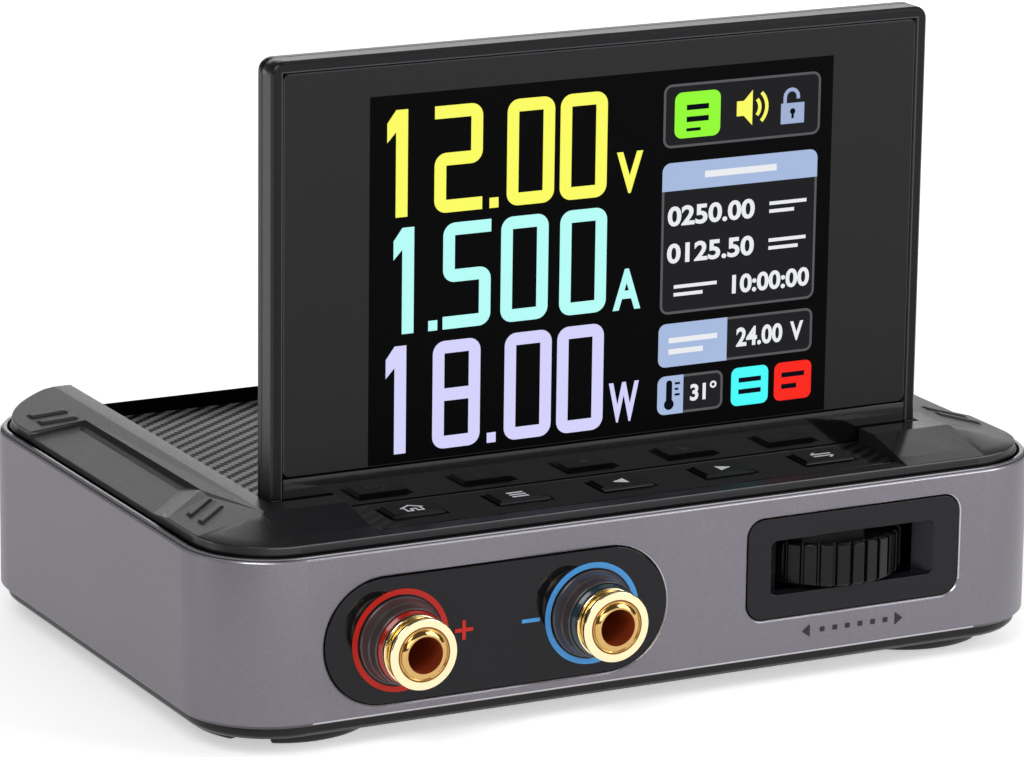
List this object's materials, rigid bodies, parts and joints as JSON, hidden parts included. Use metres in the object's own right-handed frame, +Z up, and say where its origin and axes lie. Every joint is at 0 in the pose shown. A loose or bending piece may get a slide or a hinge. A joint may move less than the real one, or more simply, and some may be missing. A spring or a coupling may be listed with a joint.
{
  "type": "laboratory power supply",
  "caption": "Compact bench power supply with a fold-up colour display, gold output sockets, soft keys and a thumb wheel.",
  "frame": {"origin": "centre of the overall box, on the table that the feet stand on", "axes": "+X to the right as the user sees the front, +Y to the rear, +Z up"},
  "size_m": [0.1054, 0.076, 0.0738],
  "materials": {
    "sleeve_metal": "satin grey-violet metallic",
    "base_plastic": "fine matte black",
    "foot_rubber": "matte black",
    "dark_screw": "black zinc",
    "cover_plastic": "dark satin",
    "twill_sheet": "pressed twill pattern",
    "gloss_black": "gloss black",
    "green_board": "green solder mask",
    "switch_metal": "tinned",
    "screen_plastic": "satin black",
    "black_glass": "polished black glass",
    "lcd_metal": "sheet metal",
    "steel": "ground steel",
    "bronze": "sintered",
    "panel_gloss": "gloss blue-black",
    "red_ink": "screen printed",
    "blue_ink": "screen printed",
    "collar_black": "gloss smoked black",
    "insulator_red": "moulded red",
    "insulator_teal": "moulded dark teal",
    "gold_plate": "polished gold plate",
    "nickel": "nickel plate",
    "wheel_black": "satin black",
    "bezel_plastic": "satin blue-black",
    "dark_ink": "screen printed",
    "white_nylon": "moulded nylon",
    "encoder_green": "moulded",
    "can_aluminium": "sleeved can",
    "fin_aluminium": "extruded",
    "ferrite": "pressed powder",
    "chip_black": "moulded"
  },
  "bodies": {
    "base": {"housing_sleeve": "sleeve_metal", "bottom_cover": "base_plastic", "rubber_feet": "foot_rubber", "bottom_screws": "dark_screw", "top_cover": "cover_plastic", "recess_pad": "twill_sheet", "key_strip": "gloss_black", "key_board": "green_board", "key_switches": "switch_metal", "key_board_screws": "steel", "hinge_bushes": "bronze", "terminal_panel": "panel_gloss", "ring_positive": "red_ink", "ring_negative": "blue_ink", "collar_positive": "collar_black", "collar_negative": "collar_black", "insulator_positive": "insulator_red", "insulator_negative": "insulator_teal", "socket_positive": "gold_plate", "socket_negative": "gold_plate", "panel_nuts": "nickel", "solder_lugs": "nickel", "socket_nuts": "gold_plate", "wheel_bezel": "bezel_plastic", "wheel_marks": "dark_ink", "wheel_bracket": "steel", "wheel_switch": "chip_black", "rear_panel": "panel_gloss", "dc_jack": "chip_black", "dc_jack_pin": "switch_metal", "usb_power_socket": "switch_metal", "usb_data_socket": "switch_metal", "main_board": "green_board", "board_screws": "steel", "inductor": "ferrite", "capacitors": "can_aluminium", "power_transistors": "chip_black", "heat_sink": "fin_aluminium"},
    "screen": {"screen_shell": "screen_plastic", "screen_frame": "screen_plastic", "screen_chin": "gloss_black", "screen_glass": "black_glass", "lcd_panel": "lcd_metal", "hinge_pins": "steel"},
    "key_home": {"key_home": "screen_plastic"},
    "key_mode": {"key_mode": "screen_plastic"},
    "key_up": {"key_up": "screen_plastic"},
    "key_down": {"key_down": "screen_plastic"},
    "key_swap": {"key_swap": "screen_plastic"},
    "carriage": {"wheel_carriage": "white_nylon", "wheel_axle": "steel", "wheel_encoder": "encoder_green"},
    "wheel": {"thumb_wheel": "wheel_black"}
  },
  "joints": [
    {"name": "screen_fold", "type": "hinge", "parent": "base", "child": "screen", "pos_m": [0, -0.01737, 0.02339], "axis": [-1, 0, 0], "range_deg": [0, 90]},
    {"name": "key_home_press", "type": "slide", "parent": "base", "child": "key_home", "axis": [0, 0, -1], "range_m": [0, 0.0004], "stiffness_N_per_m": 3000, "springref_m": -0.0005},
    {"name": "key_mode_press", "type": "slide", "parent": "base", "child": "key_mode", "axis": [0, 0, -1], "range_m": [0, 0.0004], "stiffness_N_per_m": 3000, "springref_m": -0.0005},
    {"name": "key_up_press", "type": "slide", "parent": "base", "child": "key_up", "axis": [0, 0, -1], "range_m": [0, 0.0004], "stiffness_N_per_m": 3000, "springref_m": -0.0005},
    {"name": "key_down_press", "type": "slide", "parent": "base", "child": "key_down", "axis": [0, 0, -1], "range_m": [0, 0.0004], "stiffness_N_per_m": 3000, "springref_m": -0.0005},
    {"name": "key_swap_press", "type": "slide", "parent": "base", "child": "key_swap", "axis": [0, 0, -1], "range_m": [0, 0.0004], "stiffness_N_per_m": 3000, "springref_m": -0.0005},
    {"name": "wheel_press", "type": "slide", "parent": "base", "child": "carriage", "axis": [0, 1, 0], "range_m": [0, 0.0006], "stiffness_N_per_m": 3000, "springref_m": -0.0005},
    {"name": "wheel_spin", "type": "hinge", "parent": "carriage", "child": "wheel", "pos_m": [0.0253, -0.0236, 0.01385], "axis": [0, 0, 1], "continuous": true}
  ]
}
